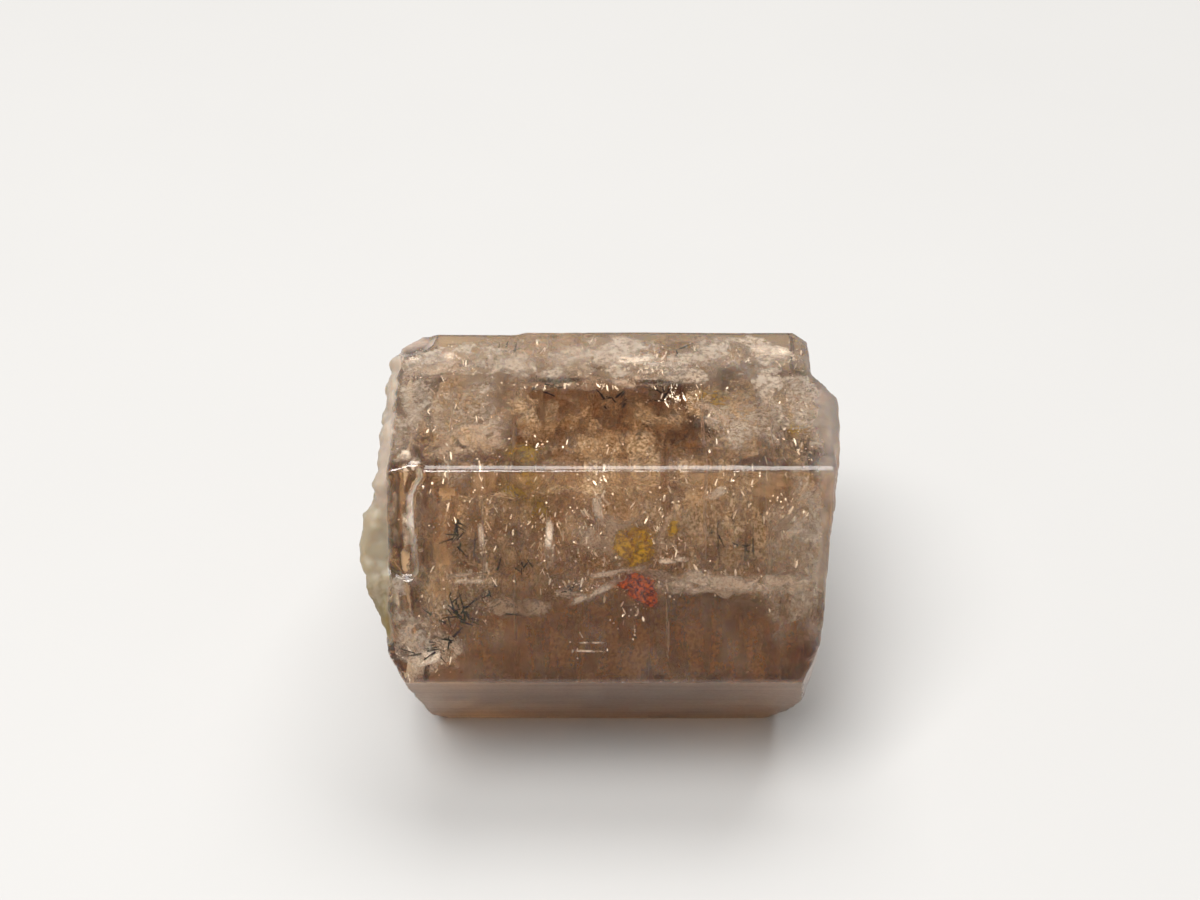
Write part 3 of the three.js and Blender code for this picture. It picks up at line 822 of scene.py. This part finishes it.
def glint_tree(material):
    """Puts a thin six-sided plate on each point, most of them turned nearly the same way."""
    tree, identifiers = geometry_group(
        "glints", {"Glint Radius": "NodeSocketFloat", "Facing": "NodeSocketVector"}
    )
    given = node(tree, "NodeGroupInput").outputs
    thickness = maths(tree, "MULTIPLY", given["Glint Radius"], 0.14)
    plate = node(
        tree, "GeometryNodeMeshCylinder", {"Vertices": 6, "Radius": given["Glint Radius"], "Depth": thickness}
    )
    loose = random_vector(tree, -0.2, 0.2, GLINT_SEED + 1)
    facing = node(tree, "ShaderNodeVectorMath", {0: given["Facing"], 1: loose}, operation="ADD")
    turned = node(tree, "FunctionNodeAlignRotationToVector", {"Vector": facing.outputs[0]}, axis="Z")
    rare = maths(tree, "POWER", random_number(tree, 0.0, 1.0, GLINT_SEED + 2), 5)
    size = maths(tree, "MULTIPLY_ADD", rare, 2.6, 0.35)
    narrow = random_number(tree, 0.14, 0.6, GLINT_SEED + 3)
    scale = node(tree, "ShaderNodeCombineXYZ", {"X": narrow, "Y": size, "Z": 1.0})
    lean = random_number(tree, -0.6, 0.6, GLINT_SEED + 4)
    leaning = node(tree, "FunctionNodeAxisAngleToRotation", {"Axis": (0, 0, 1), "Angle": lean})
    turned = node(
        tree,
        "FunctionNodeRotateRotation",
        {"Rotation": turned.outputs[0], "Rotate By": leaning.outputs[0]},
        rotation_space="LOCAL",
    )
    repeated_on_points(tree, given, plate.outputs["Mesh"], turned.outputs[0], scale.outputs[0], material)
    return tree, identifiers


# Bright films: flat cracks filled with gas, which mirror the light. Each is (face, along, down,
# depth), (length, width), tilt, turn, ripple, and most are tilted to flash towards the camera.
NEAR_FLASH = -28
TOP_FLASH = 19
BRIGHT_FILMS = [
    ((NEAR_UPPER, -8.3, 9.0, 0.6), (1.8, 0.8), NEAR_FLASH, 16, 0.15),
    ((NEAR_UPPER, -8.9, 2.9, 0.95), (0.5, 2.8), NEAR_FLASH, 4, 0.25),
    ((NEAR_UPPER, -9.1, 5.0, 0.5), (1.4, 0.3), NEAR_FLASH, 8, 0.05),
    ((NEAR_UPPER, -6.1, 5.3, 0.5), (1.5, 0.26), NEAR_FLASH, 0, 0.05),
    ((NEAR_UPPER, -5.5, 3.0, 0.7), (0.3, 1.6), NEAR_FLASH, 4, 0.1),
    ((NEAR_UPPER, -2.4, 3.2, 0.7), (0.4, 1.8), NEAR_FLASH, -4, 0.15),
    ((NEAR_UPPER, -0.2, 1.8, 0.6), (0.5, 1.3), NEAR_FLASH, 6, 0.15),
    ((NEAR_UPPER, -0.6, 8.25, 0.5), (1.4, 0.12), NEAR_FLASH, 1, 0.03),
    ((NEAR_UPPER, -0.5, 8.65, 0.5), (1.9, 0.14), NEAR_FLASH, -2, 0.03),
    ((NEAR_UPPER, 3.2, 4.3, 0.5), (1.6, 0.3), NEAR_FLASH, 6, 0.05),
    ((NEAR_UPPER, 5.2, 1.2, 0.6), (1.2, 0.5), NEAR_FLASH, 30, 0.15),
    ((NEAR_UPPER, 8.7, 3.0, 0.6), (1.1, 0.6), NEAR_FLASH, 34, 0.15),
    ((TOP, -8.4, 1.7, 0.5), (2.8, 1.0), TOP_FLASH, 14, 0.2),
    ((TOP, 1.8, 1.9, 0.5), (2.2, 0.6), TOP_FLASH, 4, 0.1),
    ((TOP, 8.4, 1.3, 0.5), (2.4, 0.8), TOP_FLASH, -6, 0.2),
    ((TOP, -9.2, 8.9, 0.4), (1.0, 0.7), TOP_FLASH, 10, 0.1),
    ((TOP, -5.6, 4.1, 0.7), (0.6, 0.6), TOP_FLASH, 20, 0.15),
    ((FAR_UPPER, -4.0, 4.0, 0.8), (2.0, 0.7), 20, 10, 0.2),
]
film_colours = ((1.0, 0.86, 0.72), (1.0, 0.97, 0.93))
bright_film = film_material(
    "bright_film", film_colours, 1.6, (0.36, 0.52), 1.3, holes=0.5, metallic=0.85, roughness=0.32
)
inner_piece("bright_films", sheets_mesh(BRIGHT_FILMS), bright_film)

glint = glint_material()
glints, glint_inputs = glint_tree(glint)
for name, swarms, facing in (
    ("near_glints", NEAR_SWARMS, FLASH_UNDER_NEAR),
    ("top_glints", TOP_SWARMS, FLASH_UNDER_TOP),
    ("far_glints", FAR_SWARMS, FLASH_UNDER_FAR),
):
    glint_sizes = {"Glint Radius": GLINT_RADIUS * MM, "Facing": facing}
    points = swarm_points(swarms, GLINT_SEED, LEAST_COVER, SWARM_FULLNESS)
    grown = grown_mesh(points, glints, glint_inputs, glint_sizes)
    inner_piece(name, grown, glint)

# Dark inclusions: needles and grains of a dark brown to black mineral that the crystal grew round.
# The needles stand in small stars on the left of the near side, and lie flat above the window.
NEEDLE_RADIUS = 0.048
NEEDLE_LENGTH = 1.1
NEEDLE_SEED = 9
NEEDLE_COVER = 0.44
NEEDLE_BLACK = (0.006, 0.004, 0.003)
NEEDLE_BROWN = (0.05, 0.025, 0.01)
NEEDLE_STARS = [
    ((NEAR_UPPER, -6.5, 6.9, 0.4), (0.6, 0.45), 30),
    ((NEAR_UPPER, -6.6, 2.8, 0.35), (0.14, 0.34), 15),
    ((NEAR_UPPER, -7.9, 8.7, 0.35), (0.3, 0.26), 12),
    ((NEAR_UPPER, -7.0, 8.3, 0.35), (0.22, 0.22), 9),
    ((NEAR_UPPER, -3.7, 4.7, 0.9), (0.21, 0.21), 5),
    ((NEAR_UPPER, -1.5, 5.7, 0.8), (0.18, 0.18), 5),
    ((NEAR_UPPER, -5.2, 6.2, 1.2), (0.48, 0.48), 8),
    ((NEAR_UPPER, 5.5, 3.2, 2.0), (0.3, 0.3), 6),
    ((NEAR_UPPER, 6.7, 3.8, 2.0), (0.3, 0.3), 5),
    ((TOP, 0.6, 4.2, 1.6), (0.42, 0.42), 9),
    ((TOP, -2.6, 3.6, 1.3), (0.36, 0.36), 6),
    ((TOP, 3.6, 1.0, 0.8), (0.18, 0.18), 3),
    ((TOP, 2.8, 4.0, 1.4), (0.36, 0.36), 5),
    ((FAR_UPPER, -5.0, 6.0, 1.0), (0.48, 0.48), 9),
    ((FAR_LOWER, 2.0, 5.0, 1.0), (0.48, 0.48), 8),
    ((NEAR_LOWER, -4.0, 5.0, 1.0), (0.54, 0.54), 8),
]


def dark_material():
    material, tree, place = new_material("dark_inclusion")
    grainy = noise_at(tree, place, 4.0, 4, 0.7)
    shade = blend_colour(tree, ramp(tree, grainy, 0.4, 0.8), NEEDLE_BLACK, NEEDLE_BROWN)
    shader = node(
        tree,
        "ShaderNodeBsdfPrincipled",
        {
            "Base Color": shade,
            "Roughness": maths(tree, "MULTIPLY_ADD", grainy, 0.4, 0.3),
            "Specular IOR Level": 0.15,
        },
    )
    node(tree, "ShaderNodeOutputMaterial", {"Surface": shader.outputs[0]})
    return material


def needle_tree(material):
    """Stands a thin six-sided needle on each point, turned and stretched at random."""
    tree, identifiers = geometry_group(
        "needle_stars", {"Needle Radius": "NodeSocketFloat", "Needle Length": "NodeSocketFloat"}
    )
    given = node(tree, "NodeGroupInput").outputs
    needle = node(
        tree,
        "GeometryNodeMeshCone",
        {
            "Vertices": 6,
            "Radius Top": maths(tree, "MULTIPLY", given["Needle Radius"], 0.35),
            "Radius Bottom": given["Needle Radius"],
            "Depth": given["Needle Length"],
        },
    )
    turn = random_vector(tree, 0, 2 * math.pi, NEEDLE_SEED + 1)
    turned = node(tree, "FunctionNodeEulerToRotation", {0: turn})
    thick = random_number(tree, 0.7, 1.4, NEEDLE_SEED + 2)
    long = random_number(tree, 0.25, 0.85, NEEDLE_SEED + 3)
    stretch = node(tree, "ShaderNodeCombineXYZ", {"X": thick, "Y": thick, "Z": long})
    repeated_on_points(tree, given, needle.outputs["Mesh"], turned.outputs[0], stretch.outputs[0], material)
    return tree, identifiers


dark = dark_material()
needles, needle_inputs = needle_tree(dark)
needle_sizes = {"Needle Radius": NEEDLE_RADIUS * MM, "Needle Length": NEEDLE_LENGTH * MM}
needle_points = swarm_points(NEEDLE_STARS, NEEDLE_SEED, NEEDLE_COVER)
needle_mesh = grown_mesh(needle_points, needles, needle_inputs, needle_sizes)
inner_piece("dark_needles", needle_mesh, dark)

# Iron stains: rusty films that seeped along the cracks. Most are pale yellow to gold, and one small
# patch near the middle of the near side is orange red.
YELLOW_STAINS = [
    ((TOP, -3.6, 8.5, 1.0), (2.6, 1.6), 20, 10, 0.4),
    ((NEAR_UPPER, -3.4, 1.1, 1.0), (3.4, 1.9), 16, -6, 0.4),
    ((NEAR_UPPER, -2.9, 2.3, 1.4), (1.6, 2.2), 24, 20, 0.4),
    ((TOP, 9.1, 6.6, 1.3), (1.8, 1.4), 20, 20, 0.3),
    ((TOP, 5.4, 5.0, 1.2), (2.0, 2.6), 26, 14, 0.4),
    ((NEAR_UPPER, 4.0, 2.4, 1.6), (1.3, 2.0), 20, 30, 0.4),
    ((FAR_UPPER, 4.0, 4.0, 1.2), (3.0, 2.2), 24, 10, 0.4),
]
GOLD_STAINS = [
    ((NEAR_UPPER, 1.7, 4.1, 0.5), (1.7, 1.1), 14, 34, 0.25),
    ((NEAR_UPPER, 2.0, 3.5, 0.6), (0.9, 1.6), 14, -16, 0.2),
    ((NEAR_UPPER, 3.3, 2.7, 0.6), (0.7, 1.6), 14, -10, 0.2),
    ((NEAR_UPPER, 1.4, 3.6, 1.1), (2.2, 1.8), 16, 50, 0.3),
]
RED_STAINS = [
    ((NEAR_UPPER, 1.85, 5.7, 0.34), (1.6, 1.5), 8, 30, 0.12),
    ((NEAR_UPPER, 1.2, 5.3, 0.34), (1.7, 0.8), 8, 14, 0.1),
    ((NEAR_UPPER, 2.2, 6.1, 0.4), (0.8, 1.0), 14, 10, 0.1),
]
for name, stains, colours, strength in (
    ("yellow_stains", YELLOW_STAINS, ((0.3, 0.16, 0.0), (0.6, 0.4, 0.03)), 0.9),
    ("gold_stains", GOLD_STAINS, ((0.36, 0.16, 0.0), (0.95, 0.58, 0.01)), 1.3),
    ("red_stains", RED_STAINS, ((0.12, 0.003, 0.0), (0.82, 0.13, 0.0)), 2.8),
):
    stain = film_material(
        name, colours, 0.8, (0.3, 0.6), strength, least=0.15, swirl=0.6, holes=0.05, roughness=0.5, gloss=0.1
    )
    inner_piece(name, sheets_mesh(stains), stain)

# The studio: a plain pale floor, a large soft light above and behind the crystal, a weak fill.
FLOOR_PALE = (0.54, 0.53, 0.515)
FILL_COLOUR = (1.0, 0.98, 0.95, 1)
FILL_STRENGTH = 0.2
LIGHTS_AIM = Vector((0, 0, 0.01))
floor_mesh = bpy.data.meshes.new("floor")
floor_mesh.from_pydata([(-1, -1, 0), (1, -1, 0), (1, 1, 0), (-1, 1, 0)], [], [(0, 1, 2, 3)])
floor_material, floor_tree, floor_place = new_material("pale_floor")
floor_shade = blend_colour(
    floor_tree, noise_at(floor_tree, floor_place, 0.05, 3), FLOOR_PALE, tuple(c * 0.97 for c in FLOOR_PALE)
)
floor_shader = node(floor_tree, "ShaderNodeBsdfPrincipled", {"Base Color": floor_shade, "Roughness": 0.7})
node(floor_tree, "ShaderNodeOutputMaterial", {"Surface": floor_shader.outputs[0]})
floor_mesh.materials.append(floor_material)
floor = bpy.data.objects.new("floor", floor_mesh)
bpy.context.scene.collection.objects.link(floor)


def soft_light(name, place, size, watts):
    lamp = bpy.data.lights.new(name, "AREA")
    lamp.shape = "RECTANGLE"
    lamp.size, lamp.size_y = size
    lamp.energy = watts
    holder = bpy.data.objects.new(name, lamp)
    holder.location = place
    holder.rotation_euler = (LIGHTS_AIM - Vector(place)).to_track_quat("-Z", "Y").to_euler()
    bpy.context.scene.collection.objects.link(holder)


soft_light("back_light", place=(0.05, 0.2, 0.5), size=(0.4, 0.3), watts=2.1)
soft_light("top_light", place=(-0.14, -0.16, 0.5), size=(0.28, 0.28), watts=3.1)
world = bpy.data.worlds.new("studio")
world.use_nodes = True
world.node_tree.nodes["Background"].inputs["Color"].default_value = FILL_COLOUR
world.node_tree.nodes["Background"].inputs["Strength"].default_value = FILL_STRENGTH
bpy.context.scene.world = world

picture = bpy.context.scene
picture.view_settings.view_transform = "Standard"
picture.cycles.max_bounces = 12
picture.cycles.transmission_bounces = 10
picture.cycles.transparent_max_bounces = 24
picture.cycles.use_denoising = True
picture.cycles.denoiser = "OPENIMAGEDENOISE"
picture.cycles.sample_clamp_indirect = 4
